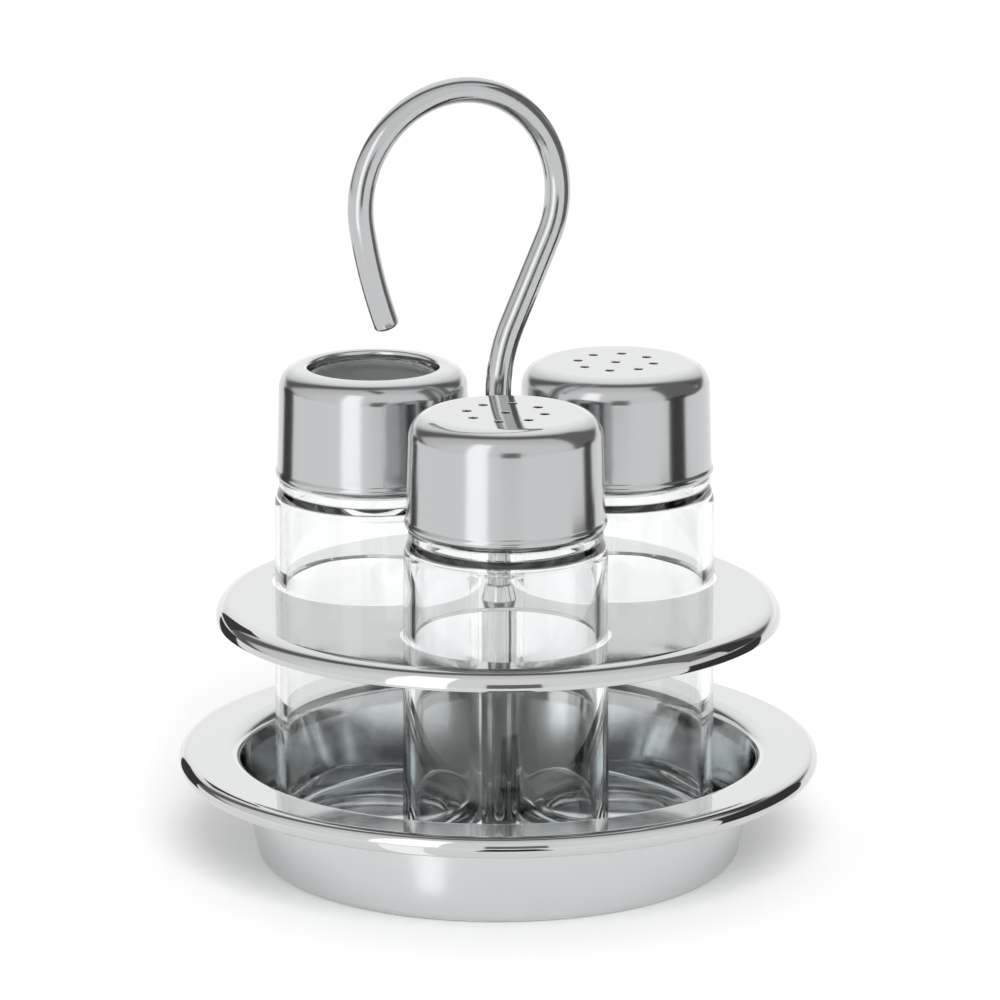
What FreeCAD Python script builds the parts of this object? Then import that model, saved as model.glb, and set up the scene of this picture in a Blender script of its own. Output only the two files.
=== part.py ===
import FreeCAD, Part
import math
import os

# Table cruet set: a stamped steel stand with a wire carrying hook holds three
# glass jars. Two jars have pierced shaker caps and the third is open-topped.
#
# Millimetres. The origin is the centre of the tray's underside, +Z is up, and
# -Y is the side that faces a person at the table.

# Arrangement of the jars
jar_pitch_radius = 26.4        # post axis to jar axis
front_jar_angle = -87.0        # direction of the first jar, degrees from +X
jar_count = 3
jar_clearance = 0.35           # side gap of a jar in the deck and in the tray

# Tray: one stamping with a boss, a floor, a sloping wall and a rolled rim
tray_sheet = 0.7
tray_height = 20.9
tray_radius = 60.3
tray_wall_slope = 12.0         # degrees from upright
tray_floor_bend = 1.3          # inside radius between floor and wall
tray_rim_bend = 2.3            # inside radius between wall and rim
tray_bead_bend = 1.35          # inside radius of the rolled edge
tray_bead_return = 2.2         # flat strip under the rolled edge
tray_tail_bend = 0.5           # inside radius where the edge turns up inside the roll
tray_bead_tail = 1.2           # height of that turned-up edge
boss_rise = 4.3                # floor to the top of the boss
boss_radius = 6.6
boss_foot_spread = 0.6
boss_bend = 0.6                # inside radius at the top of the boss
boss_foot_bend = 1.0

# Fixing under the boss: an M4 stud end with its nut and washer
stud_radius = 2.0
stud_hole_clearance = 0.2
thread_clearance = 0.03
washer_radius = 4.5
washer_thickness = 0.8
nut_across_flats = 7.0
nut_height = 3.0
stud_end_past_nut = 0.1
stud_shoulder_above_boss = 0.6

# Post and deck
tube_radius = 3.75
tube_wire_clearance = 0.1
deck_height = 49.8
deck_sheet = 0.7
deck_radius = 53.1
deck_edge_bend = 2.5           # inside radius of the turned-down edge
deck_edge_depth = 3.6
deck_wire_clearance = 0.1
collar_base_radius = 3.8
collar_top_radius = 2.9
collar_height = 3.0
collar_clearance = 0.02

# Carrying hook, bent from one wire in an upright plane through the post
wire_radius = 2.4
handle_height = 149.15
hook_plane_angle = 28.0        # plane's turn from the X axis, degrees
hook_lean = 25.5               # lean of the stem's straight run, degrees
stem_bend_radius = 30.0
loop_radius = 20.45            # centre line
loop_offset = 8.0              # loop centre to the post axis
loop_end_angle = 189.0
tail_bend_radius = 95.0
tail_turn = 12.0
wire_end_round = 0.9

# Jars: thick pressed glass, all alike, measured up from the jar's own base
jar_radius = 19.1              # at the top of the heel
jar_draft = 0.36               # inward slope of the wall, degrees
jar_wall = 2.1
jar_base = 4.0
jar_heel_bend = 5.5
jar_inner_floor_bend = 4.0
jar_foot_ring_radius = 12.0    # inner edge of the standing ring
jar_push_up = 0.8
jar_shoulder_height = 65.0
jar_shoulder_bend = 4.0
jar_inner_shoulder_height = 65.2
jar_inner_shoulder_bend = 1.2
jar_collar_radius = 17.9
jar_collar_start = 67.4
jar_collar_height = 69.2
jar_collar_bend = 1.5
neck_radius = 15.8
neck_foot_bore_radius = 14.2   # the neck's bore narrows upwards from this
neck_foot_bore_height = 66.6
neck_foot_bend = 1.2
mouth_bore_radius = 10.85
jar_height = 89.1
mouth_inner_bend = 1.2
mouth_outer_bend = 2.0

# Caps: thin steel shells over a moulded liner
cap_sheet = 0.5
cap_gap = 0.3                  # cap edge to the jar's collar
cap_skirt_radius = 18.25       # just above the lip
cap_skirt_draft = 1.7          # inward slope of the skirt, degrees
cap_lip_radius = 18.6
cap_lip_height = 1.8           # cap edge to the start of the skirt
cap_lip_round = 0.7            # lip's outside radius
cap_edge_radius = 17.8         # where the lip has curled in
cap_shoulder_bend = 4.0        # inside radius of a shaker cap's shoulder
pour_hole_radius = 0.9
pour_ring_radius = 7.2
pour_ring_count = 8
pour_ring_turn = -10.0         # degrees
open_cap_radius = 12.3         # opening of the toothpick holder's cap
open_cap_flat = 0.4            # between the shoulder and the turned-down edge
open_cap_edge_bend = 0.4       # inside radius of the turned-down opening
open_cap_edge_depth = 1.4

# Liners inside the caps
liner_floor = 1.2              # flange between cap and glass mouth
liner_wall_clearance = 0.3     # to the glass neck
liner_cap_clearance = 0.02
liner_hole_radius = 9.5
liner_hole_clearance = 0.1     # to the turned-down opening

# Heights and radii that follow from the sizes above
floor_height = tray_sheet
boss_height = floor_height + boss_rise
boss_underside = boss_height - tray_sheet
washer_underside = boss_underside - washer_thickness
nut_underside = washer_underside - nut_height
stud_end_height = nut_underside - stud_end_past_nut
stud_shoulder_height = boss_height + stud_shoulder_above_boss
deck_underside = deck_height - deck_sheet
deck_hole_radius = jar_radius + jar_clearance
cap_edge_height = jar_collar_height + cap_gap
cap_top_height = jar_height + liner_floor + cap_sheet
wall_slope = math.tan(math.radians(tray_wall_slope))
wall_radius_at_heel = jar_pitch_radius + jar_radius + jar_clearance
SAME_PLACE = 0.000001


def point(radius, height):
    """A point of a turned section, in the XZ plane."""
    return FreeCAD.Vector(radius, 0, height)


def bend_points(before, corner, after, bend):
    """Start, middle and end of the arc that rounds a corner."""
    back = (before - corner).normalize()
    ahead = (after - corner).normalize()
    half_angle = back.getAngle(ahead) / 2
    reach = bend / math.tan(half_angle)
    towards_centre = (back + ahead).normalize()
    start = corner + back * reach
    middle = corner + towards_centre * (bend / math.sin(half_angle) - bend)
    end = corner + ahead * reach
    return start, middle, end


def rounded_wire(corners, closed=False):
    """Lines through (radius, height, bend) corners, with an arc at each one that has a bend."""
    places = [point(corner[0], corner[1]) for corner in corners]
    bends = [corner[2] if len(corner) > 2 else 0 for corner in corners]
    count = len(places)
    stretches = []
    for index in range(count):
        if bends[index]:
            before = places[index - 1]
            after = places[(index + 1) % count]
            stretches.append(bend_points(before, places[index], after, bends[index]))
        else:
            stretches.append((places[index],))
    edges = []
    for index in range(count):
        arc = stretches[index]
        if len(arc) == 3:
            edges.append(Part.Arc(*arc).toShape())
        if closed or index + 1 < count:
            following = stretches[(index + 1) % count]
            if arc[-1].distanceToPoint(following[0]) > SAME_PLACE:
                edges.append(Part.LineSegment(arc[-1], following[0]).toShape())
    return Part.Wire(edges)


def turned(face):
    """The solid that a section sweeps out round the Z axis."""
    return face.revolve(FreeCAD.Vector(0, 0, 0), FreeCAD.Vector(0, 0, 1), 360)


def turned_block(corners):
    """A turned solid with a closed section."""
    return turned(Part.Face(rounded_wire(corners, closed=True)))


def turned_sheet(corners, sheet):
    """A turned sheet-metal solid. The corners follow its outer face, from the axis outwards."""
    outer_face = rounded_wire(corners)
    section = outer_face.makeOffset2D(-sheet, fill=True, openResult=True)
    return turned(section)


def ring(outer_radius, inner_radius, bottom, top):
    """A plain round spacer about the Z axis."""
    solid = Part.makeCylinder(outer_radius, top - bottom, FreeCAD.Vector(0, 0, bottom))
    bore = Part.makeCylinder(inner_radius, top - bottom, FreeCAD.Vector(0, 0, bottom))
    return solid.cut(bore)


def jar_place(index):
    """Where a jar stands: 0 is the front jar, and the count goes anticlockwise from above."""
    angle = math.radians(front_jar_angle + index * 360 / jar_count)
    x = jar_pitch_radius * math.cos(angle)
    y = jar_pitch_radius * math.sin(angle)
    return FreeCAD.Vector(x, y, floor_height)


# Stand

def make_tray():
    """The deep tray, stamped and rolled from one disc."""
    heel_height = floor_height + jar_heel_bend
    wall_foot_radius = wall_radius_at_heel - jar_heel_bend * wall_slope
    wall_top_radius = wall_radius_at_heel + (tray_height - heel_height) * wall_slope
    bead_round = tray_bead_bend + tray_sheet
    bead_bottom = tray_height - 2 * bead_round
    strip_end_radius = tray_radius - bead_round - tray_bead_return
    corners = [
        (stud_radius + stud_hole_clearance, boss_height),
        (boss_radius, boss_height, boss_bend + tray_sheet),
        (boss_radius + boss_foot_spread, floor_height, boss_foot_bend),
        (wall_foot_radius, floor_height, tray_floor_bend),
        (wall_top_radius, tray_height, tray_rim_bend + tray_sheet),
        (tray_radius, tray_height, bead_round),
        (tray_radius, bead_bottom, bead_round),
        (strip_end_radius, bead_bottom, tray_tail_bend + tray_sheet),
        (strip_end_radius, bead_bottom + tray_sheet + tray_bead_tail),
    ]
    return turned_sheet(corners, tray_sheet)


def make_washer():
    """Plain washer under the boss."""
    bore = stud_radius + stud_hole_clearance
    return ring(washer_radius, bore, washer_underside, boss_underside)


def make_nut():
    """Hexagon nut that draws the whole stand together."""
    corner_radius = nut_across_flats / 2 / math.cos(math.radians(30))
    corners = []
    for index in range(7):
        angle = math.radians(60 * index)
        x = corner_radius * math.cos(angle)
        y = corner_radius * math.sin(angle)
        corners.append(FreeCAD.Vector(x, y, nut_underside))
    blank = Part.Face(Part.makePolygon(corners)).extrude(FreeCAD.Vector(0, 0, nut_height))
    bore_radius = stud_radius + thread_clearance
    bore = Part.makeCylinder(bore_radius, nut_height, FreeCAD.Vector(0, 0, nut_underside))
    return blank.cut(bore)


def make_post_tube():
    """Spacer tube between the tray's boss and the deck."""
    bore = wire_radius + tube_wire_clearance
    return ring(tube_radius, bore, boss_height, deck_underside)


def make_deck():
    """Round deck plate with a turned-down edge and a hole for each jar."""
    edge_bend = deck_edge_bend + deck_sheet
    corners = [
        (wire_radius + deck_wire_clearance, deck_height),
        (deck_radius, deck_height, edge_bend),
        (deck_radius, deck_height - deck_edge_depth),
    ]
    deck = turned_sheet(corners, deck_sheet)
    for index in range(jar_count):
        place = jar_place(index)
        place.z = deck_underside - deck_sheet
        deck = deck.cut(Part.makeCylinder(deck_hole_radius, 3 * deck_sheet, place))
    return deck


def make_collar():
    """Coned collar, fast on the wire, that holds the deck down on the tube."""
    bore = wire_radius + collar_clearance
    base = FreeCAD.Vector(0, 0, deck_height)
    cone = Part.makeCone(collar_base_radius, collar_top_radius, collar_height, base)
    return cone.cut(Part.makeCylinder(bore, collar_height, base))


def hook_point(across, height):
    """A point in the hook's upright plane."""
    turn = math.radians(hook_plane_angle)
    return FreeCAD.Vector(across * math.cos(turn), across * math.sin(turn), height)


def hook_arc(centre, radius, first_angle, last_angle):
    """An arc in the hook's plane, between two directions in degrees."""
    marks = []
    for share in (0, 0.5, 1):
        angle = math.radians(first_angle + share * (last_angle - first_angle))
        across = centre[0] + radius * math.cos(angle)
        height = centre[1] + radius * math.sin(angle)
        marks.append(hook_point(across, height))
    return Part.Arc(*marks).toShape()


def make_hook():
    """Carrying hook: stem through the stand, leaning run, round loop and a straighter tail."""
    lean = math.radians(hook_lean)
    loop_centre = (-loop_offset, handle_height - wire_radius - loop_radius)
    run_top_across = loop_centre[0] + loop_radius * math.cos(lean)
    run_top_height = loop_centre[1] - loop_radius * math.sin(lean)
    run_foot_across = stem_bend_radius * (1 - math.cos(lean))
    run_length = (run_top_across - run_foot_across) / math.sin(lean)
    run_foot_height = run_top_height - run_length * math.cos(lean)
    stem_top_height = run_foot_height - stem_bend_radius * math.sin(lean)

    loop_end = math.radians(loop_end_angle)
    tail_gap = loop_radius - tail_bend_radius
    tail_centre = (
        loop_centre[0] + tail_gap * math.cos(loop_end),
        loop_centre[1] + tail_gap * math.sin(loop_end),
    )
    tail_end_angle = loop_end_angle + tail_turn

    stem_foot = hook_point(0, stud_shoulder_height)
    stem_top = hook_point(0, stem_top_height)
    run_foot = hook_point(run_foot_across, run_foot_height)
    run_top = hook_point(run_top_across, run_top_height)
    stem_centre = (stem_bend_radius, stem_top_height)
    path = Part.Wire([
        Part.LineSegment(stem_foot, stem_top).toShape(),
        hook_arc(stem_centre, stem_bend_radius, 180, 180 - hook_lean),
        Part.LineSegment(run_foot, run_top).toShape(),
        hook_arc(loop_centre, loop_radius, -hook_lean, loop_end_angle),
        hook_arc(tail_centre, tail_bend_radius, loop_end_angle, tail_end_angle),
    ])
    section = Part.Wire(Part.makeCircle(wire_radius, stem_foot, FreeCAD.Vector(0, 0, 1)))
    wire = path.makePipeShell([section], True, False)

    tail = path.Edges[-1]
    tail_end = tail.valueAt(tail.LastParameter)
    end_edges = []
    for edge in wire.Edges:
        if edge.CenterOfMass.distanceToPoint(tail_end) < wire_end_round:
            end_edges.append(edge)
    wire = wire.makeFillet(wire_end_round, end_edges)

    stud_height = stud_shoulder_height - stud_end_height
    stud = Part.makeCylinder(stud_radius, stud_height, FreeCAD.Vector(0, 0, stud_end_height))
    return wire.fuse(stud).removeSplitter()


# Jars

def jar_outside(height):
    """Outer radius of the jar's wall at a height above its base."""
    slope = math.tan(math.radians(jar_draft))
    return jar_radius - (height - jar_heel_bend) * slope


def make_jar():
    """Pressed-glass jar with a pushed-up base, a collar and a neck that narrows to its mouth."""
    inner_floor_radius = jar_outside(jar_base) - jar_wall
    inner_shoulder_radius = jar_outside(jar_inner_shoulder_height) - jar_wall
    corners = [
        (0, jar_push_up),
        (jar_foot_ring_radius - jar_push_up, jar_push_up),
        (jar_foot_ring_radius, 0),
        (jar_outside(0), 0, jar_heel_bend),
        (jar_outside(jar_shoulder_height), jar_shoulder_height, jar_shoulder_bend),
        (jar_collar_radius, jar_collar_start, jar_collar_bend),
        (jar_collar_radius, jar_collar_height),
        (neck_radius, jar_collar_height),
        (neck_radius, jar_height, mouth_outer_bend),
        (mouth_bore_radius, jar_height, mouth_inner_bend),
        (neck_foot_bore_radius, neck_foot_bore_height, neck_foot_bend),
        (inner_shoulder_radius, jar_inner_shoulder_height, jar_inner_shoulder_bend),
        (inner_floor_radius, jar_base, jar_inner_floor_bend),
        (0, jar_base),
    ]
    return turned_block(corners)


# Caps

def skirt_outside(height):
    """Outer radius of a cap's skirt at a height above the jar's base."""
    slope = math.tan(math.radians(cap_skirt_draft))
    return cap_skirt_radius - (height - cap_edge_height - cap_lip_height) * slope


def lip_corners():
    """Lower end of every cap: the skirt flares into a lip and curls in again."""
    flare_height = cap_edge_height + cap_lip_height
    lip_top = flare_height - 2 * (cap_lip_radius - cap_skirt_radius)
    curl_height = cap_edge_height + (cap_lip_radius - cap_edge_radius)
    return [
        (skirt_outside(flare_height), flare_height, cap_lip_round),
        (cap_lip_radius, lip_top),
        (cap_lip_radius, curl_height, cap_lip_round),
        (cap_edge_radius, cap_edge_height),
    ]


def make_shaker_cap():
    """Flat-topped cap with one pouring hole in the middle and a ring of them about it."""
    corners = [
        (0, cap_top_height),
        (skirt_outside(cap_top_height), cap_top_height, cap_shoulder_bend + cap_sheet),
    ]
    cap = turned_sheet(corners + lip_corners(), cap_sheet)
    hole_bottom = cap_top_height - 2 * cap_sheet
    places = [FreeCAD.Vector(0, 0, hole_bottom)]
    for index in range(pour_ring_count):
        angle = math.radians(pour_ring_turn + index * 360 / pour_ring_count)
        x = pour_ring_radius * math.cos(angle)
        y = pour_ring_radius * math.sin(angle)
        places.append(FreeCAD.Vector(x, y, hole_bottom))
    for place in places:
        cap = cap.cut(Part.makeCylinder(pour_hole_radius, 3 * cap_sheet, place))
    return cap


def open_cap_shoulder():
    """Inside radius of the open cap's shoulder, which fills the width beside the opening."""
    width = skirt_outside(cap_top_height) - open_cap_radius
    return width - open_cap_flat - open_cap_edge_bend - 2 * cap_sheet


def make_open_cap():
    """Cap of the toothpick holder, with a wide opening whose edge is turned down."""
    corners = [
        (open_cap_radius, cap_top_height - open_cap_edge_depth),
        (open_cap_radius, cap_top_height, open_cap_edge_bend + cap_sheet),
        (skirt_outside(cap_top_height), cap_top_height, open_cap_shoulder() + cap_sheet),
    ]
    return turned_sheet(corners + lip_corners(), cap_sheet)


def make_liner(hole_radius, shoulder_bend):
    """Moulded liner between a cap and the glass neck."""
    inset = cap_sheet + liner_cap_clearance
    top = jar_height + liner_floor
    skirt_bottom = cap_edge_height + cap_lip_height
    inner_radius = neck_radius + liner_wall_clearance
    edge_bend = open_cap_edge_bend + liner_hole_clearance
    corners = [
        (hole_radius, top, edge_bend),
        (skirt_outside(top) - inset, top, shoulder_bend),
        (skirt_outside(skirt_bottom) - inset, skirt_bottom),
        (inner_radius, skirt_bottom),
        (inner_radius, jar_height, mouth_outer_bend + liner_wall_clearance),
        (hole_radius, jar_height),
    ]
    return turned_block(corners)


# One file for each piece

def save(name, shape):
    """Write one piece and say what it is."""
    shape.exportStep("parts/" + name + ".step")
    solids = len(shape.Solids)
    print(name, "solids", solids, "valid", shape.isValid(), "volume mm3", round(shape.Volume, 1))


def placed(shape, place):
    """A copy of a shape, moved to a place."""
    copy = shape.copy()
    copy.translate(place)
    return copy


os.makedirs("parts", exist_ok=True)

save("base_tray", make_tray())
save("base_washer", make_washer())
save("base_nut", make_nut())
save("post_tube", make_post_tube())
save("deck_plate", make_deck())
save("deck_collar", make_collar())
save("hook_handle", make_hook())

glass_jar = make_jar()
shaker_cap = make_shaker_cap()
shaker_liner = make_liner(liner_hole_radius, cap_shoulder_bend)
open_cap = make_open_cap()
open_liner_hole = open_cap_radius + cap_sheet + liner_hole_clearance
open_liner = make_liner(open_liner_hole, open_cap_shoulder())

jar_kinds = [
    ("salt", shaker_cap, shaker_liner),
    ("pepper", shaker_cap, shaker_liner),
    ("toothpick", open_cap, open_liner),
]
for jar_index, (kind, cap_shape, liner_shape) in enumerate(jar_kinds):
    jar_centre = jar_place(jar_index)
    save(kind + "_jar", placed(glass_jar, jar_centre))
    save(kind + "_cap", placed(cap_shape, jar_centre))
    save(kind + "_cap_liner", placed(liner_shape, jar_centre))
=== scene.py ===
# %% [markdown]
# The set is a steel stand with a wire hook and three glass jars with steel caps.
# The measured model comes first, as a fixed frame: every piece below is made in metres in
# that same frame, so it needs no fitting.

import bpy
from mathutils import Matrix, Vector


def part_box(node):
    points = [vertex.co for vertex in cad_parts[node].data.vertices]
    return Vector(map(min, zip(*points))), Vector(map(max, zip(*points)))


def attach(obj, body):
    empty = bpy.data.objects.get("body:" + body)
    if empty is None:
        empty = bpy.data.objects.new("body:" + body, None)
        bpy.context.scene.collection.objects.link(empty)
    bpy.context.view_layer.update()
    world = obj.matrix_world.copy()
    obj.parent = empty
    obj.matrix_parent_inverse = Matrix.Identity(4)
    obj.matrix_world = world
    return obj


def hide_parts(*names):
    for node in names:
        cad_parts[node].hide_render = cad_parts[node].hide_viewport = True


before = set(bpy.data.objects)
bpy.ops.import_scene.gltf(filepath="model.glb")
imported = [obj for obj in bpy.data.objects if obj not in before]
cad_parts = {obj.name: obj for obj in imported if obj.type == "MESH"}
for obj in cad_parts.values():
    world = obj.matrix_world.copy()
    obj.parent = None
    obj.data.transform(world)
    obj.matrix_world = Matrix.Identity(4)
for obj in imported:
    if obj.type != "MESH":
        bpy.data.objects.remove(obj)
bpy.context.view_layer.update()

# %% [markdown]
# Sizes are written in millimetres, as a drawing gives them, and multiplied by MM where a
# vertex is made. What the measured model can tell is asked of it: the box of a node gives
# its centre, its radius and its heights.

# %% Units and places
import math

import bmesh
import bpy
from mathutils import Matrix, Vector

MM = 0.001


def low_high(node):
    """Lowest and highest corner of a node's box, in millimetres."""
    low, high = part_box(node)
    return Vector(low) / MM, Vector(high) / MM


def centre_of(node):
    """Upright axis of a node, as x and y in millimetres."""
    low, high = low_high(node)
    return (low.x + high.x) / 2, (low.y + high.y) / 2


tray_low, tray_high = low_high("base_tray")
deck_low, deck_high = low_high("deck_plate")
hook_top = low_high("hook_handle")[1].z
for name, height in (("tray", tray_high.z), ("deck", deck_high.z), ("hook", hook_top)):
    print(name, "top, millimetres:", round(height, 3))

# %% [markdown]
# Most pieces of a set like this are spun, pressed or blown round an axis, so one helper
# makes them all. An outline is a few corners, each with its own rounding, as a tool maker
# draws it. The bevel operator rounds a corner of a wire when it is given that vertex, and a
# spin turns the wire into a skin. Writing out circle points by hand would give the same
# shape with more to go wrong.

# %% Outlines, rounded and spun
AXIS_UP = (0, 0, 1)
FINE_STEPS = 192               # round a jar or a cap
WIDE_STEPS = 256               # round the tray or the deck
ARC_STEP = math.radians(7)


def outline(bm, corners, closed=False):
    """Wire through (radius, height, rounding) corners in millimetres, in the XZ plane."""
    verts = [bm.verts.new((corner[0] * MM, 0, corner[1] * MM)) for corner in corners]
    pairs = list(zip(verts, verts[1:]))
    if closed:
        pairs.append((verts[-1], verts[0]))
    for first, second in pairs:
        bm.edges.new((first, second))
    places = [vert.co.copy() for vert in verts]
    for index, corner in enumerate(corners):
        if len(corner) < 3:
            continue
        here = places[index]
        back = (places[index - 1] - here).normalized()
        ahead = (places[(index + 1) % len(places)] - here).normalized()
        half = back.angle(ahead) / 2
        reach = corner[2] * MM / math.tan(half)
        turn = math.pi - 2 * half
        segments = max(2, math.ceil(turn / ARC_STEP))
        bmesh.ops.bevel(
            bm, geom=[verts[index]], offset=reach * 0.9999, offset_type="OFFSET",
            affect="VERTICES", segments=segments, profile=0.5, material=-1, clamp_overlap=False,
        )


def spin_round(bm, steps=FINE_STEPS):
    """Turns every edge of the wire into a closed skin about the Z axis."""
    bmesh.ops.spin(
        bm, geom=list(bm.verts) + list(bm.edges), cent=(0, 0, 0), axis=AXIS_UP,
        angle=math.tau, steps=steps, use_merge=True, use_duplicate=False,
    )
    bmesh.ops.remove_doubles(bm, verts=list(bm.verts), dist=0.002 * MM)
    bmesh.ops.dissolve_degenerate(bm, edges=list(bm.edges), dist=0.001 * MM)


def face_outwards(bm):
    """Points all normals the same way, outwards at the widest face."""
    bmesh.ops.recalc_face_normals(bm, faces=list(bm.faces))
    widest = max(bm.faces, key=lambda face: face.calc_center_median().xy.length)
    middle = widest.calc_center_median()
    if widest.normal.dot(Vector((middle.x, middle.y, 0))) < 0:
        bmesh.ops.reverse_faces(bm, faces=list(bm.faces))


def new_piece(bm, name, place=(0, 0)):
    """Object made of a bmesh, moved to its axis (x, y in millimetres), with smooth faces."""
    bmesh.ops.translate(bm, verts=list(bm.verts), vec=(place[0] * MM, place[1] * MM, 0))
    mesh = bpy.data.meshes.new(name)
    bm.to_mesh(mesh)
    bm.free()
    mesh.shade_smooth()
    piece = bpy.data.objects.new(name, mesh)
    bpy.context.scene.collection.objects.link(piece)
    return piece


def add_modifier(piece, kind, **settings):
    """Adds one modifier and gives it its settings."""
    modifier = piece.modifiers.new(kind.title(), kind)
    for key, value in settings.items():
        setattr(modifier, key, value)
    return modifier


def as_sheet(piece, sheet, edge=0.1):
    """Gives a skin the thickness of its sheet, inwards, and breaks its cut edges."""
    add_modifier(piece, "SOLIDIFY", thickness=sheet * MM, offset=-1, use_even_offset=True)
    add_modifier(
        piece, "BEVEL", width=edge * MM, segments=2, limit_method="ANGLE", angle_limit=math.radians(50),
    )
    add_modifier(piece, "WEIGHTED_NORMAL", keep_sharp=True, weight=80)


def as_block(piece, edge=0.1):
    """Breaks the sharp edges of a closed piece."""
    add_modifier(
        piece, "BEVEL", width=edge * MM, segments=2, limit_method="ANGLE", angle_limit=math.radians(50),
    )
    add_modifier(piece, "WEIGHTED_NORMAL", keep_sharp=True, weight=80)


# %% [markdown]
# A piece is placed by saying which body it moves with and which node of the measured model
# it stands for.

# %% Placing a piece in the model
def settle(piece, node, body):
    """The piece stands for a measured node and moves with that node's body."""
    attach(piece, body)
    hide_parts(node)
    print(piece.name, "faces", len(piece.data.polygons))
    return piece


# %% [markdown]
# The tray is one disc of stainless sheet, drawn deep, with a raised boss for the post in the
# middle and an edge rolled under itself, so that no sharp edge meets a hand. It could be cut
# from a solid, but a skin with a sheet's thickness keeps the roll hollow, as a real one is.

# %% Tray
TRAY_SHEET = 0.7
TRAY_BEAD = 2.05               # outside radius of the rolled edge
TRAY_WALL_TOP = 48.95          # where wall and rim would meet
TRAY_WALL_FOOT = 44.68         # where wall and floor would meet
BOSS_TOP = 5.0

tray_radius = (tray_high.x - tray_low.x) / 2
tray_top = tray_high.z
tray_corners = [
    (2.2, BOSS_TOP),
    (6.6, BOSS_TOP, 1.3),
    (7.2, TRAY_SHEET, 1.0),
    (TRAY_WALL_FOOT, TRAY_SHEET, 1.3),
    (TRAY_WALL_TOP, tray_top, 3.0),
    (tray_radius, tray_top, TRAY_BEAD),
    (tray_radius, tray_top - 2 * TRAY_BEAD, TRAY_BEAD),
    (tray_radius - TRAY_BEAD - 2.2, tray_top - 2 * TRAY_BEAD, 1.2),
    (tray_radius - TRAY_BEAD - 2.2, tray_top - 2 * TRAY_BEAD + 1.9),
]
bm = bmesh.new()
outline(bm, tray_corners)
spin_round(bm, WIDE_STEPS)
face_outwards(bm)
tray = settle(new_piece(bm, "dish_tray"), "base_tray", "stand")
as_sheet(tray, TRAY_SHEET)

# %% [markdown]
# The deck is a thinner part of the same family: a flat round plate whose edge is turned down,
# with three holes that hold the jars upright. Its edge is spun, and the flat top is filled
# between the edge and the holes in one go. That keeps the mirror surface perfectly flat,
# which a cut through spun faces would not.

# %% Deck plate
DECK_SHEET = 0.7
DECK_EDGE_ROUND = 3.2
DECK_EDGE_DEPTH = 3.6
JAR_HOLE = 19.45
WIRE_HOLE = 2.5

jar_names = ("salt", "pepper", "toothpick")
jar_axes = {name: centre_of(name + "_jar") for name in jar_names}
deck_radius = (deck_high.x - deck_low.x) / 2
deck_top = deck_high.z


def add_hole_loop(bm, radius, x, y, height, segments):
    """A loose circle of edges, to be left open by a fill."""
    place = Matrix.Translation((x * MM, y * MM, height * MM))
    made = bmesh.ops.create_circle(bm, segments=segments, radius=radius * MM, matrix=place)
    return list({edge for vert in made["verts"] for edge in vert.link_edges})


def fill_flat(bm, loops):
    """Fills a flat ground between loops of edges."""
    bmesh.ops.triangle_fill(bm, use_beauty=True, edges=loops, normal=AXIS_UP)


def inner_loop(bm):
    """Edges of the open loop nearest the axis."""
    open_edges = [edge for edge in bm.edges if len(edge.link_faces) == 1]
    nearest = min(edge.verts[0].co.xy.length for edge in open_edges)
    return [edge for edge in open_edges if edge.verts[0].co.xy.length < nearest + 0.01 * MM]


bm = bmesh.new()
flat_end = deck_radius - DECK_EDGE_ROUND - 0.3
outline(bm, [
    (flat_end, deck_top),
    (deck_radius, deck_top, DECK_EDGE_ROUND),
    (deck_radius, deck_top - DECK_EDGE_DEPTH),
])
spin_round(bm, WIDE_STEPS)
loops = inner_loop(bm)
for x, y in jar_axes.values():
    loops += add_hole_loop(bm, JAR_HOLE, x, y, deck_top, 128)
loops += add_hole_loop(bm, WIRE_HOLE, 0, 0, deck_top, 32)
fill_flat(bm, loops)
face_outwards(bm)
deck = settle(new_piece(bm, "deck_top_plate"), "deck_plate", "stand")
as_sheet(deck, DECK_SHEET)

# %% [markdown]
# Post and collar. The post is a plain drawn tube between tray and deck, and the collar is a
# small turned cone that grips the wire and holds the deck down. Both are closed outlines,
# spun, so they need no thickness afterwards.

# %% Post tube and collar
def spun_block(name, corners, node, body, place=(0, 0), steps=96, edge=0.1):
    """A closed turned piece that stands for one node."""
    bm = bmesh.new()
    outline(bm, corners, closed=True)
    spin_round(bm, steps)
    face_outwards(bm)
    piece = settle(new_piece(bm, name, place), node, body)
    as_block(piece, edge)
    return piece


tube_low, tube_high = low_high("post_tube")
collar_low, collar_high = low_high("deck_collar")
tube_radius = (tube_high.x - tube_low.x) / 2
collar_radius = (collar_high.x - collar_low.x) / 2
TUBE_BORE = 2.5
COLLAR_BORE = 2.42
COLLAR_TOP = 2.9
post = spun_block("post_sleeve", [
    (TUBE_BORE, tube_low.z), (tube_radius, tube_low.z),
    (tube_radius, tube_high.z), (TUBE_BORE, tube_high.z),
], "post_tube", "stand")
collar = spun_block("wire_collar", [
    (COLLAR_BORE, collar_low.z), (collar_radius, collar_low.z),
    (COLLAR_TOP, collar_high.z, 0.35), (COLLAR_BORE, collar_high.z),
], "deck_collar", "stand")

# %% [markdown]
# The hook is one round wire bent in a flat plane: straight stem, a lean, a round loop and a
# flatter tail that ends free. A ring of vertices is carried along that way, by moving it on
# the straight runs and spinning it on the bends, so every bend is a true arc of its own
# radius. A curve with a round bevel would be quicker, but its bends are only nearly round.

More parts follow.
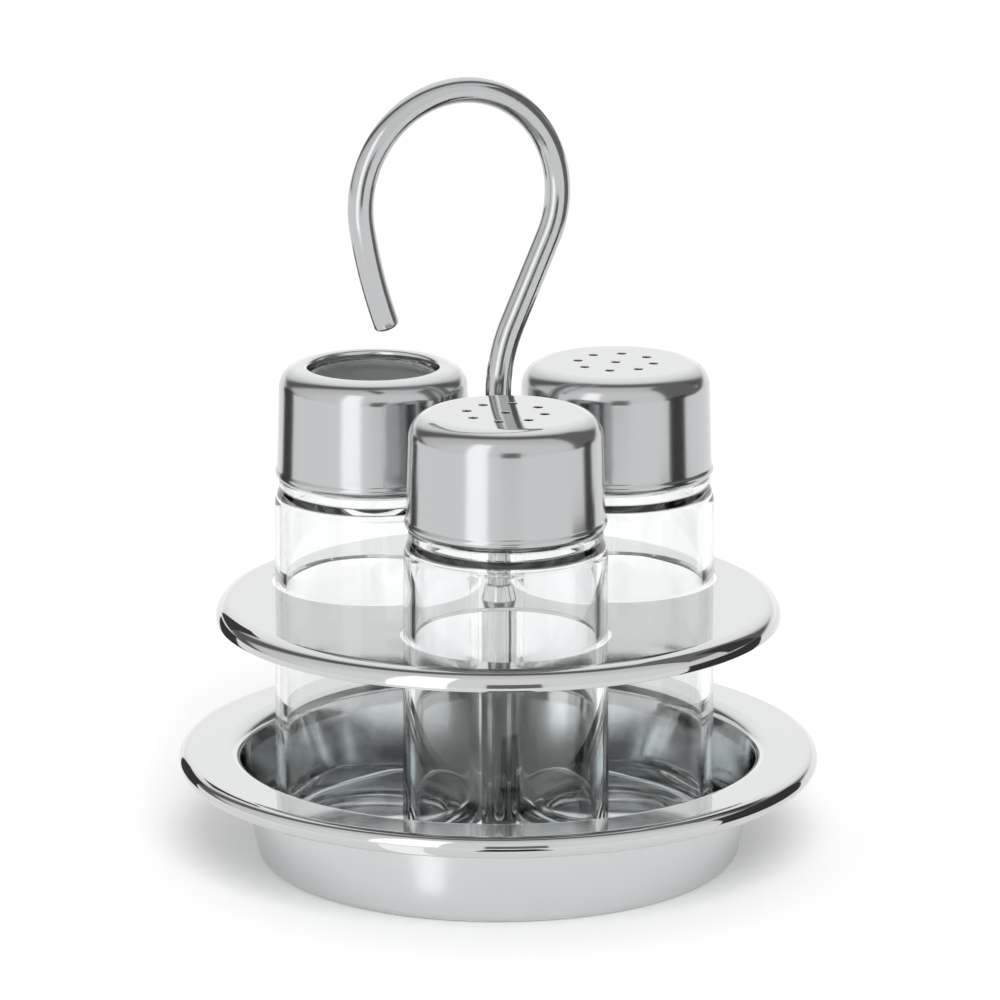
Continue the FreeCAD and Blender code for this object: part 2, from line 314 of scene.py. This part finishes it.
# %% Carrying hook
WIRE = 2.4
STEM_FOOT = 5.6
HOOK_TURN = math.radians(28)
LEAN = math.radians(25.5)
STEM_BEND = 30.0
LOOP_RADIUS = 20.45
LOOP_OFFSET = 8.0
LOOP_END = math.radians(189)
TAIL_BEND = 95.0
TAIL_TURN = math.radians(12)
WIRE_SIDES = 64

loop_x = -LOOP_OFFSET
loop_z = hook_top - WIRE - LOOP_RADIUS
run_top_x = loop_x + LOOP_RADIUS * math.cos(LEAN)
run_top_z = loop_z - LOOP_RADIUS * math.sin(LEAN)
run_foot_x = STEM_BEND * (1 - math.cos(LEAN))
run_length = (run_top_x - run_foot_x) / math.sin(LEAN)
stem_top = run_top_z - run_length * math.cos(LEAN) - STEM_BEND * math.sin(LEAN)
tail_x = loop_x + (LOOP_RADIUS - TAIL_BEND) * math.cos(LOOP_END)
tail_z = loop_z + (LOOP_RADIUS - TAIL_BEND) * math.sin(LOOP_END)


def run_on(bm, ring, step):
    """Carries a ring of edges straight on and returns the new ring."""
    made = bmesh.ops.extrude_edge_only(bm, edges=ring)["geom"]
    verts = [part for part in made if isinstance(part, bmesh.types.BMVert)]
    bmesh.ops.translate(bm, verts=verts, vec=step * MM)
    return [part for part in made if isinstance(part, bmesh.types.BMEdge)]


def bend_on(bm, ring, x, z, angle, steps):
    """Carries a ring of edges round (x, z) and returns the new ring. Positive leans to +X."""
    made = bmesh.ops.spin(
        bm, geom=ring, cent=(x * MM, 0, z * MM), axis=(0, 1, 0), angle=angle,
        steps=steps, use_merge=False, use_duplicate=False,
    )["geom_last"]
    return [part for part in made if isinstance(part, bmesh.types.BMEdge)]


bm = bmesh.new()
made = bmesh.ops.create_circle(
    bm, segments=WIRE_SIDES, radius=WIRE * MM, matrix=Matrix.Translation((0, 0, STEM_FOOT * MM)),
)
ring = list({edge for vert in made["verts"] for edge in vert.link_edges})
bmesh.ops.contextual_create(bm, geom=ring)
ring = run_on(bm, ring, Vector((0, 0, stem_top - STEM_FOOT)))
ring = bend_on(bm, ring, STEM_BEND, stem_top, LEAN, 10)
ring = run_on(bm, ring, Vector((math.sin(LEAN), 0, math.cos(LEAN))) * run_length)
ring = bend_on(bm, ring, loop_x, loop_z, -(LOOP_END + LEAN), 96)
ring = bend_on(bm, ring, tail_x, tail_z, -TAIL_TURN, 12)
last_verts = list({vert for edge in ring for vert in edge.verts})
tip = sum((vert.co for vert in last_verts), Vector()) / len(last_verts) / MM
print("hook's free end, millimetres:", [round(value, 2) for value in tip])
bmesh.ops.contextual_create(bm, geom=ring)
bmesh.ops.rotate(bm, verts=list(bm.verts), cent=(0, 0, 0), matrix=Matrix.Rotation(HOOK_TURN, 3, "Z"))
bmesh.ops.recalc_face_normals(bm, faces=list(bm.faces))
hook = settle(new_piece(bm, "carrying_hook"), "hook_handle", "stand")
add_modifier(
    hook, "BEVEL", width=0.8 * MM, segments=4, limit_method="ANGLE", angle_limit=math.radians(50),
)
add_modifier(hook, "WEIGHTED_NORMAL", keep_sharp=True, weight=80)

# %% [markdown]
# The jars are thick pressed glass. Inside and outside are one closed outline, because glass
# shows both of its surfaces: what the eye reads as the jar is mostly the light bent by the
# heel, the shoulder and the heavy neck.

# %% Glass jars
JAR_DRAFT = math.tan(math.radians(0.36))
JAR_RADIUS = 19.1
JAR_HEEL = 5.5
JAR_WALL = 2.1
JAR_SHOULDER = 65.0
JAR_BEAD = 17.9
JAR_BEAD_TOP = 69.2
NECK = 15.8
NECK_FOOT_BORE = 14.2
MOUTH_BORE = 10.85
MOUTH = 89.1


def glass_wall(height):
    """Outer radius of a jar at a height above its base."""
    return JAR_RADIUS - (height - JAR_HEEL) * JAR_DRAFT


jar_corners = [
    (0, 0.8), (11.2, 0.8, 0.8), (12.0, 0), (glass_wall(0), 0, JAR_HEEL),
    (glass_wall(JAR_SHOULDER), JAR_SHOULDER, 4.0),
    (JAR_BEAD, 67.4, 1.5), (JAR_BEAD, JAR_BEAD_TOP, 0.5),
    (NECK, JAR_BEAD_TOP, 0.4), (NECK, MOUTH, 2.0), (MOUTH_BORE, MOUTH, 1.2),
    (NECK_FOOT_BORE, 66.6, 1.2),
    (glass_wall(65.2) - JAR_WALL, 65.2, 1.2),
    (glass_wall(4.0) - JAR_WALL, 4.0, 4.0), (0, 4.0),
]
jars = {}
for name in jar_names:
    jar_base = low_high(name + "_jar")[0].z
    bm = bmesh.new()
    outline(bm, jar_corners)
    spin_round(bm)
    bmesh.ops.recalc_face_normals(bm, faces=list(bm.faces))
    bmesh.ops.translate(bm, verts=list(bm.verts), vec=(0, 0, jar_base * MM))
    body = {"salt": "salt_shaker", "pepper": "pepper_shaker", "toothpick": "toothpick_holder"}[name]
    jars[name] = settle(new_piece(bm, name + "_glass", jar_axes[name]), name + "_jar", body)

# %% [markdown]
# The caps are thin steel shells: a flat top, a rounded shoulder, a straight skirt that
# tapers very slightly and a lower edge that is rolled to a bead. The two shakers are pierced
# with a ring of holes round a middle one. The flat top is filled between the holes.

# %% Caps
CAP_SHEET = 0.5
CAP_EDGE = 69.5                # above the jar's base
CAP_TOP = 90.8
SKIRT = 18.25
SKIRT_FOOT = 71.3
SKIRT_DRAFT = math.tan(math.radians(1.7))
LIP = 18.6
LIP_IN = 17.8
SHOULDER = 4.5
OPENING = 12.3
POUR_HOLE = 0.9
POUR_RING = 7.2
POUR_COUNT = 8


def skirt(height):
    """Outer radius of a cap's skirt at a height above the jar's base."""
    return SKIRT - (height - SKIRT_FOOT) * SKIRT_DRAFT


def lip_corners():
    """The skirt's rolled lower edge."""
    return [
        (skirt(SKIRT_FOOT), SKIRT_FOOT, 0.7), (LIP, SKIRT_FOOT - 0.5, 0.7),
        (LIP, CAP_EDGE + 0.5, 0.7), (LIP_IN, CAP_EDGE),
    ]


def shaker_skin(bm, turn):
    """Skin of a pierced cap. turn is the direction of its first hole, in degrees."""
    top = skirt(CAP_TOP)
    flat_end = top - SHOULDER - 0.4
    outline(bm, [(flat_end, CAP_TOP), (top, CAP_TOP, SHOULDER)] + lip_corners())
    spin_round(bm)
    loops = inner_loop(bm) + add_hole_loop(bm, POUR_HOLE, 0, 0, CAP_TOP, 24)
    for index in range(POUR_COUNT):
        angle = math.radians(turn + index * 360 / POUR_COUNT)
        x, y = POUR_RING * math.cos(angle), POUR_RING * math.sin(angle)
        loops += add_hole_loop(bm, POUR_HOLE, x, y, CAP_TOP, 24)
    fill_flat(bm, loops)


def open_skin(bm):
    """Skin of the toothpick holder's cap, with the edge of its opening turned down."""
    top = skirt(CAP_TOP)
    outline(bm, [
        (OPENING, CAP_TOP - 1.4), (OPENING, CAP_TOP, 0.9), (top, CAP_TOP, 4.2),
    ] + lip_corners())
    spin_round(bm)


caps = {}
for name in jar_names:
    jar_base = low_high(name + "_jar")[0].z
    bm = bmesh.new()
    if name == "toothpick":
        open_skin(bm)
    else:
        shaker_skin(bm, turn=-10)
    face_outwards(bm)
    bmesh.ops.translate(bm, verts=list(bm.verts), vec=(0, 0, jar_base * MM))
    caps[name] = settle(new_piece(bm, name + "_steel_cap", jar_axes[name]), name + "_cap", name + "_lid")
    as_sheet(caps[name], CAP_SHEET, edge=0.06)

# %% [markdown]
# Finishes. A colour is written as the hex value a screen shows and turned to linear light
# by one function. One small function adds a node, sets it and links it.

# %% Colour and node helpers
def hex_colour(code):
    """Linear colour of an sRGB hex value."""
    values = [int(code[index:index + 2], 16) / 255 for index in (1, 3, 5)]
    linear = [v / 12.92 if v <= 0.04045 else ((v + 0.055) / 1.055) ** 2.4 for v in values]
    return (*linear, 1.0)


def add_node(tree, kind, settings=None, **inputs):
    """Adds one node. An input is a value, or another node's output to link from.

    Inputs go by name, with _ for a space, or by number, as i0 for the first.
    """
    node = tree.nodes.new(kind)
    for key, value in (settings or {}).items():
        setattr(node, key, value)
    for key, value in inputs.items():
        numbered = key[0] == "i" and key[1:].isdigit()
        socket = node.inputs[int(key[1:]) if numbered else key.replace("_", " ")]
        if isinstance(value, bpy.types.NodeSocket):
            tree.links.new(value, socket)
        else:
            socket.default_value = value
    return node


def new_finish(name, **inputs):
    """A Principled material with its plain values set on the shader itself."""
    finish = bpy.data.materials.new(name)
    finish.use_nodes = True
    shader = finish.node_tree.nodes["Principled BSDF"]
    for key, value in inputs.items():
        shader.inputs[key.replace("_", " ")].default_value = value
    print("finish", name)
    return finish, finish.node_tree, shader


def object_noise(tree, place, size_mm, detail):
    """Grey noise fixed to the object, with marks about size_mm across."""
    noise = add_node(
        tree, "ShaderNodeTexNoise", Vector=place.outputs["Object"], Scale=1 / (size_mm * MM), Detail=detail,
    )
    return noise.outputs["Fac"]


def bump_normal(tree, height, strength, depth_mm, **inputs):
    """Normal of a face that height raises by up to depth_mm."""
    bump = add_node(
        tree, "ShaderNodeBump", Strength=strength, Distance=depth_mm * MM, Height=height, **inputs,
    )
    return bump.outputs["Normal"]


# %% [markdown]
# Polished stainless steel: the sheet is pressed, then buffed to a mirror. The eye sees its
# surroundings in it, very slightly blurred where the wheel left fine marks and slightly
# wavy where the press stretched the sheet. Drawn wire keeps a fine grain under its polish,
# so its marks are raised a little too.

# %% Polished stainless sheet
WHEEL_MARK = 1.2               # millimetres


def polished_steel(name, tint, roughness, wave_mm, wave_strength, grain_strength=0.0):
    """Buffed steel, with wheel marks in its roughness, a slow wave in its face and any grain."""
    finish, tree, shader = new_finish(name, Base_Color=hex_colour(tint), Metallic=1.0, Roughness=roughness)
    place = add_node(tree, "ShaderNodeTexCoord")
    marks = object_noise(tree, place, WHEEL_MARK, 4.0)
    blur = add_node(
        tree, "ShaderNodeMapRange", Value=marks,
        From_Min=0.3, From_Max=0.7, To_Min=roughness * 0.7, To_Max=roughness * 1.4,
    )
    tree.links.new(blur.outputs["Result"], shader.inputs["Roughness"])
    wave = object_noise(tree, place, wave_mm, 1.0)
    normal = bump_normal(tree, wave, wave_strength, 0.05)
    if grain_strength:
        normal = bump_normal(tree, marks, grain_strength, 0.02, Normal=normal)
    tree.links.new(normal, shader.inputs["Normal"])
    return finish


mirror_steel = polished_steel("polished_stainless_sheet", "#CBCCCC", 0.05, 18.0, 0.25)
wire_steel = polished_steel("polished_stainless_wire", "#BCBDBE", 0.12, 12.0, 0.15, grain_strength=0.5)

# %% [markdown]
# The caps are satin outside: brushed round and round, so highlights smear into soft upright
# bands. Only the finest brush lines would be true to size, and they are too fine to show, so
# they are drawn a little coarser, as a change of roughness. Their tops are polished. The deck
# is polished except underneath, where no wheel goes; there it is satin, with a lighter, greener
# tint that is painted light, brightening the shaded underside and its reflection in the bowl.
# The tray has a satin outside, a polished rim and a bowl tinted near white inside, painted
# light that lifts the bowl out of the shade under the deck. One function makes all three,
# with a mask for each.

# %% Satin stainless
BRUSH_LINE = 0.25              # millimetres between brush lines
BRUSH_RUN = 50                 # millimetres that a line keeps its shade
POLISHED_ROUGHNESS = 0.06
POLISH_TINT = hex_colour("#CBCCCC")


def faces_axis(tree, place):
    """Mask that is 1 on faces that look towards the upright axis, and on the floor."""
    flat = add_node(
        tree, "ShaderNodeVectorMath", {"operation": "MULTIPLY"}, i0=place.outputs["Object"], i1=(1, 1, 0),
    )
    outward = add_node(
        tree, "ShaderNodeVectorMath", {"operation": "DOT_PRODUCT"},
        i0=flat.outputs["Vector"], i1=place.outputs["Normal"],
    )
    step = add_node(
        tree, "ShaderNodeMapRange", Value=outward.outputs["Value"],
        From_Min=0.005, From_Max=0.01, To_Min=1.0, To_Max=0.0,
    )
    return step.outputs["Result"]


def part_polished(name, satin_tint, satin_roughness, polished_where, inside=None):
    """Satin steel, polished bright where the mask made by polished_where is 1.

    inside is the tint and roughness of the faces towards the axis, where they differ.
    Its tint is painted light, brighter than the satin, to lift those faces out of shade.
    """
    finish, tree, shader = new_finish(name, Metallic=1.0)
    place = add_node(tree, "ShaderNodeTexCoord")
    along, across = 1 / (BRUSH_RUN * MM), 1 / (BRUSH_LINE * MM)
    stretch = add_node(
        tree, "ShaderNodeMapping", Vector=place.outputs["Object"], Scale=(along, along, across),
    )
    lines = add_node(tree, "ShaderNodeTexNoise", Vector=stretch.outputs["Vector"], Scale=1.0, Detail=3.0)
    blur = add_node(
        tree, "ShaderNodeMapRange", Value=lines.outputs["Fac"], From_Min=0.3, From_Max=0.7,
        To_Min=satin_roughness * 0.92, To_Max=satin_roughness * 1.08,
    )
    mask = polished_where(tree, place)
    satin = hex_colour(satin_tint)
    satin_blur = blur.outputs["Result"]
    if inside:
        inner = faces_axis(tree, place)
        # Painted light: faces towards the axis take the brighter inside tint, to lift them out of shade.
        satin = add_node(
            tree, "ShaderNodeMix", {"data_type": "RGBA"}, i0=inner, i6=satin, i7=hex_colour(inside[0]),
        ).outputs[2]
        satin_blur = add_node(
            tree, "ShaderNodeMix", {"data_type": "FLOAT"}, i0=inner, i2=satin_blur, i3=inside[1],
        ).outputs[0]
    rough = add_node(
        tree, "ShaderNodeMix", {"data_type": "FLOAT"}, i0=mask, i2=satin_blur,
        i3=POLISHED_ROUGHNESS,
    )
    tint = add_node(
        tree, "ShaderNodeMix", {"data_type": "RGBA"}, i0=mask, i6=satin, i7=POLISH_TINT,
    )
    tree.links.new(rough.outputs[0], shader.inputs["Roughness"])
    tree.links.new(tint.outputs[2], shader.inputs["Base Color"])
    return finish


def above(height, blend=0.3):
    """Mask that is 1 above a height in millimetres."""
    def mask(tree, place):
        parts = add_node(tree, "ShaderNodeSeparateXYZ", Vector=place.outputs["Object"])
        step = add_node(
            tree, "ShaderNodeMapRange", Value=parts.outputs["Z"],
            From_Min=(height - blend) * MM, From_Max=(height + blend) * MM,
        )
        return step.outputs["Result"]
    return mask


def not_facing_down(tree, place):
    """Mask that is 0 on faces that look down."""
    parts = add_node(tree, "ShaderNodeSeparateXYZ", Vector=place.outputs["Normal"])
    step = add_node(tree, "ShaderNodeMapRange", Value=parts.outputs["Z"], From_Min=-0.95, From_Max=-0.7)
    return step.outputs["Result"]


cap_top_height = low_high("salt_cap")[1].z
satin_steel = part_polished("satin_stainless_cap", "#BDBEBF", 0.17, above(cap_top_height - 0.5))
# Painted light: the satin underside's lighter, greener tint brightens the shaded underside.
deck_steel = part_polished("polished_stainless_deck", "#D4D9D9", 0.45, not_facing_down)
# Painted light: the bowl's near-white inside tint lifts it out of the shade under the deck.
dish_steel = part_polished(
    "satin_stainless_dish", "#D2D5D5", 0.3, above(tray_top - 2 * TRAY_BEAD - 0.5), inside=("#F0F4F4", 0.14),
)

# %% [markdown]
# Clear soda-lime glass, pressed and fire-polished: colourless in a thin wall, a faint grey
# green where the light runs a long way through the neck and the base.

# %% Clear glass
clear_glass, tree, shader = new_finish(
    "clear_pressed_glass", Base_Color=hex_colour("#FBFCFC"), Roughness=0.0, IOR=1.52, Transmission_Weight=1.0,
)
place = add_node(tree, "ShaderNodeTexCoord")
ripple = object_noise(tree, place, 9.0, 1.0)
tree.links.new(bump_normal(tree, ripple, 0.2, 0.1), shader.inputs["Normal"])

# %% [markdown]
# Hidden pieces get their own finish too: zinc-plated nut and washer, and a milky moulded
# polypropylene for the liners.

# %% Plated steel and moulded liner
plated_steel = polished_steel("zinc_plated_steel", "#B9BAB6", 0.3, 4.0, 0.2)
liner_plastic, tree, shader = new_finish(
    "moulded_polypropylene_liner", Base_Color=hex_colour("#F0F4F3"), Roughness=0.45, IOR=1.49,
)
place = add_node(tree, "ShaderNodeTexCoord")
grain = object_noise(tree, place, 0.4, 3.0)
tree.links.new(bump_normal(tree, grain, 0.15, 0.02), shader.inputs["Normal"])

# %% [markdown]
# Every piece gets its finish. The nut, the washer and the liners show only from below or in a
# jar's mouth, so they keep the shapes of the measured model and only take a finish.

# %% Give every piece its finish
def dress(piece, finish):
    """One finish over the whole piece."""
    if piece.material_slots:
        for slot in piece.material_slots:
            slot.material = finish
    else:
        piece.data.materials.append(finish)


dress(tray, dish_steel)
dress(deck, deck_steel)
for piece in (post, collar):
    dress(piece, mirror_steel)
dress(hook, wire_steel)
for name in jar_names:
    dress(jars[name], clear_glass)
    dress(caps[name], satin_steel)
    dress(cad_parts[name + "_cap_liner"], liner_plastic)
for name in ("base_nut", "base_washer"):
    dress(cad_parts[name], plated_steel)
print("materials in the file:", len(bpy.data.materials))

# %% [markdown]
# The camera stands a little over a metre away with a long lens, so the circles stay almost
# flat. Its height gives the slightly raised view of the caps.

# %% Camera
CAMERA_DISTANCE = 1.10788
CAMERA_RISE = math.radians(14.35)
LOOK_AT_HEIGHT = 0.06831
LOOK_AT_SIDE = 0.00033
SENSOR = 36.0
LENS = 213.2

camera_data = bpy.data.cameras.new("camera")
camera_data.sensor_width = SENSOR
camera_data.lens = LENS
camera_data.clip_start = 0.05
camera_data.clip_end = 50
camera = bpy.data.objects.new("camera", camera_data)
bpy.context.scene.collection.objects.link(camera)
look_at = Vector((LOOK_AT_SIDE, 0, LOOK_AT_HEIGHT))
back = Vector((0, -math.cos(CAMERA_RISE), math.sin(CAMERA_RISE)))
camera.location = look_at + back * CAMERA_DISTANCE
camera.rotation_euler = (-back).to_track_quat("-Z", "Y").to_euler()
bpy.context.scene.camera = camera
print("camera at, metres:", tuple(round(value, 4) for value in camera.location))

# %% [markdown]
# The floor is a white table. Its diffuse half keeps the shadow of the set, and a little glow
# that only the eye and the mirrors see lifts the rest of it to white.

# %% Floor
FLOOR_DROP = 0.00002           # metres, so that the tray's face isn't in the floor's
FLOOR_RADIUS = 6.0             # metres
FLOOR_GLOW = 0.16


def add_stage(name, bm):
    """Turns a bmesh into an object that isn't part of the set."""
    mesh = bpy.data.meshes.new(name)
    bm.to_mesh(mesh)
    bm.free()
    thing = bpy.data.objects.new(name, mesh)
    bpy.context.scene.collection.objects.link(thing)
    return thing


def seen_rays(tree):
    """1 for rays of the eye, of mirrors and of glass, 0 for the rays that carry light."""
    path = add_node(tree, "ShaderNodeLightPath")
    pair = add_node(
        tree, "ShaderNodeMath", {"operation": "MAXIMUM"},
        i0=path.outputs["Is Camera Ray"], i1=path.outputs["Is Glossy Ray"],
    )
    every = add_node(
        tree, "ShaderNodeMath", {"operation": "MAXIMUM"},
        i0=pair.outputs[0], i1=path.outputs["Is Transmission Ray"],
    )
    return every.outputs[0]


bm = bmesh.new()
bmesh.ops.create_circle(bm, cap_ends=True, segments=128, radius=FLOOR_RADIUS)
floor = add_stage("floor", bm)
floor.location.z = -FLOOR_DROP
white_table = bpy.data.materials.new("white_table")
white_table.use_nodes = True
tree = white_table.node_tree
tree.nodes.clear()
paint = add_node(tree, "ShaderNodeBsdfDiffuse", Color=hex_colour("#F2F2F2"))
lift = add_node(tree, "ShaderNodeMath", {"operation": "MULTIPLY"}, i0=seen_rays(tree), i1=FLOOR_GLOW)
glow = add_node(tree, "ShaderNodeEmission", Strength=lift.outputs[0])
both = add_node(tree, "ShaderNodeAddShader", i0=paint.outputs[0], i1=glow.outputs[0])
add_node(tree, "ShaderNodeOutputMaterial", Surface=both.outputs[0])
dress(floor, white_table)
print("floor radius, metres:", FLOOR_RADIUS)

# %% [markdown]
# Polished metal has no look of its own: it shows the room. This room is drawn on the world
# by direction, and only mirrors see it. SCREEN_MIDDLE points up behind the set, at the middle
# of a big white screen. The ramp runs from a pale room, through the screen's dark rim, to the
# screen itself. Directions near the horizon count as nearer to the middle, which keeps the
# rim out of low reflections. The eye sees plain white, and the set is lit by a softer one.

# %% Room
def grey_ramp(tree, factor, stops):
    """Colour ramp through (place, grey) stops."""
    ramp = add_node(tree, "ShaderNodeValToRGB", Fac=factor)
    points = ramp.color_ramp.elements
    while len(points) < len(stops):
        points.new(0.5)
    for point, (place, grey) in zip(points, stops):
        point.position = place
        point.color = (grey, grey, grey, 1)
    return ramp.outputs["Color"]


SCREEN_MIDDLE = (0, 0.777, 0.629)
ROOM_STOPS = [
    (0.0, 0.80), (0.24, 0.70), (0.48, 0.64), (0.57, 0.12), (0.72, 0.12), (0.82, 0.80), (0.92, 0.95),
]
MIRROR_STRENGTH = 1.24
SOFT_STRENGTH = 0.64

world = bpy.data.worlds.new("studio")
bpy.context.scene.world = world
world.use_nodes = True
tree = world.node_tree
tree.nodes.clear()
direction = add_node(tree, "ShaderNodeTexCoord")
nearness = add_node(
    tree, "ShaderNodeVectorMath", {"operation": "DOT_PRODUCT"},
    i0=direction.outputs["Generated"], i1=SCREEN_MIDDLE,
)
parts = add_node(tree, "ShaderNodeSeparateXYZ", Vector=direction.outputs["Generated"])
low_down = add_node(
    tree, "ShaderNodeMapRange", Value=parts.outputs["Z"], From_Min=0.0, From_Max=0.2, To_Min=0.3, To_Max=0.0,
)
in_screen = add_node(
    tree, "ShaderNodeMath", {"operation": "ADD"}, i0=nearness.outputs["Value"], i1=low_down.outputs["Result"],
)
room = grey_ramp(tree, in_screen.outputs[0], ROOM_STOPS)
mirror_room = add_node(tree, "ShaderNodeBackground", Color=room, Strength=MIRROR_STRENGTH)
plain = add_node(tree, "ShaderNodeBackground", Color=(1, 1, 1, 1), Strength=1.0)
soft_light = add_node(tree, "ShaderNodeBackground", Color=(1, 1, 1, 1), Strength=SOFT_STRENGTH)
path = add_node(tree, "ShaderNodeLightPath")
eye = add_node(
    tree, "ShaderNodeMath", {"operation": "MAXIMUM"},
    i0=path.outputs["Is Camera Ray"], i1=path.outputs["Is Transmission Ray"],
)
lit = add_node(
    tree, "ShaderNodeMixShader", Fac=path.outputs["Is Glossy Ray"],
    i1=soft_light.outputs[0], i2=mirror_room.outputs[0],
)
sky = add_node(tree, "ShaderNodeMixShader", Fac=eye.outputs[0], i1=lit.outputs[0], i2=plain.outputs[0])
add_node(tree, "ShaderNodeOutputWorld", Surface=sky.outputs[0])
print("room nodes:", len(tree.nodes))

# %% [markdown]
# Boards stand just outside the picture, and only mirrors see them. The low pair darkens the
# ends of the tray's and the deck's edges, the cap pair draws the dark lines at the sides of
# the caps, and the high one the dark edge of the wire. They are dark grey and not black,
# because from other sides they show in the flat tops. The strip light and its card draw the
# bright bands, and the shade and its card stand for the dark camera.

# %% Boards and strip light
def plain_glow(name, level):
    """An even emission, black at level 0."""
    finish = bpy.data.materials.new(name)
    finish.use_nodes = True
    tree = finish.node_tree
    tree.nodes.clear()
    glow = add_node(tree, "ShaderNodeEmission", Color=(1, 1, 1, 1), Strength=level)
    add_node(tree, "ShaderNodeOutputMaterial", Surface=glow.outputs[0])
    return finish


def hang(name, bm, level):
    """Makes a board that mirrors see, and glass too where the board is brighter than white."""
    board = add_stage(name, bm)
    dress(board, plain_glow(name + "_face", level))
    board.visible_camera = False
    board.visible_diffuse = False
    board.visible_shadow = False
    board.visible_transmission = level > 1
    print(name, "level", level)


def upright_board(name, middle, width, low, high, level):
    """Upright board that faces the set. middle is its x and y, and all sizes are millimetres."""
    bm = bmesh.new()
    bmesh.ops.create_grid(bm, x_segments=1, y_segments=1, size=0.5)
    bmesh.ops.scale(bm, vec=(width * MM, (high - low) * MM, 1), verts=list(bm.verts))
    bmesh.ops.rotate(bm, verts=list(bm.verts), cent=(0, 0, 0), matrix=Matrix.Rotation(math.pi / 2, 3, "X"))
    turn = math.atan2(middle[0], -middle[1])
    bmesh.ops.rotate(bm, verts=list(bm.verts), cent=(0, 0, 0), matrix=Matrix.Rotation(turn, 3, "Z"))
    place = Vector((middle[0], middle[1], (low + high) / 2)) * MM
    bmesh.ops.translate(bm, verts=list(bm.verts), vec=place)
    hang(name, bm, level)


def table_card(name, corners, level):
    """Flat card on the table, through (x, y) corners in millimetres."""
    bm = bmesh.new()
    bm.faces.new([bm.verts.new((x * MM, y * MM, 0.5 * MM)) for x, y in corners])
    hang(name, bm, level)


upright_board("right_low_board", (104, -10), 80, 0, 54, 0.05)
upright_board("right_cap_board", (82, -9), 25, 54, 94, 0.06)
upright_board("right_high_board", (110, 0), 86, 84, 230, 0.2)
upright_board("left_low_board", (-106, 54), 46, 0, 52, 0.05)
upright_board("left_cap_board", (-82, 34), 26, 54, 92, 0.06)
upright_board("strip_light", (-150, -260), 122, 0, 420, 1.75)
upright_board("camera_shade", (80, -745), 280, 0, 300, 0.2)
table_card("strip_glow_card", [(-13, -51), (-19, -49), (-79, -120), (-50, -138)], 1.4)
table_card("camera_shade_card", [(-9, -90), (-9, -170), (32, -170), (22, -90)], 0.03)

# %% [markdown]
# A wide soft sun leans in from overhead, so the shadow stays close to the set. Mirrors and
# glass don't see it, or it would burn a spot into each of them.

# %% Overhead light
SUN_ENERGY = 1.76
SUN_SPREAD = math.radians(30)
SUN_LEAN = math.radians(46)
SUN_TURN = math.radians(7)

overhead_data = bpy.data.lights.new("overhead", "SUN")
overhead_data.energy = SUN_ENERGY
overhead_data.angle = SUN_SPREAD
overhead = bpy.data.objects.new("overhead", overhead_data)
bpy.context.scene.collection.objects.link(overhead)
overhead.rotation_euler = (SUN_LEAN, 0, SUN_TURN)
overhead.visible_glossy = False
overhead.visible_transmission = False
print("overhead light, energy", SUN_ENERGY)

settings = bpy.context.scene.view_settings
settings.view_transform = "Standard"
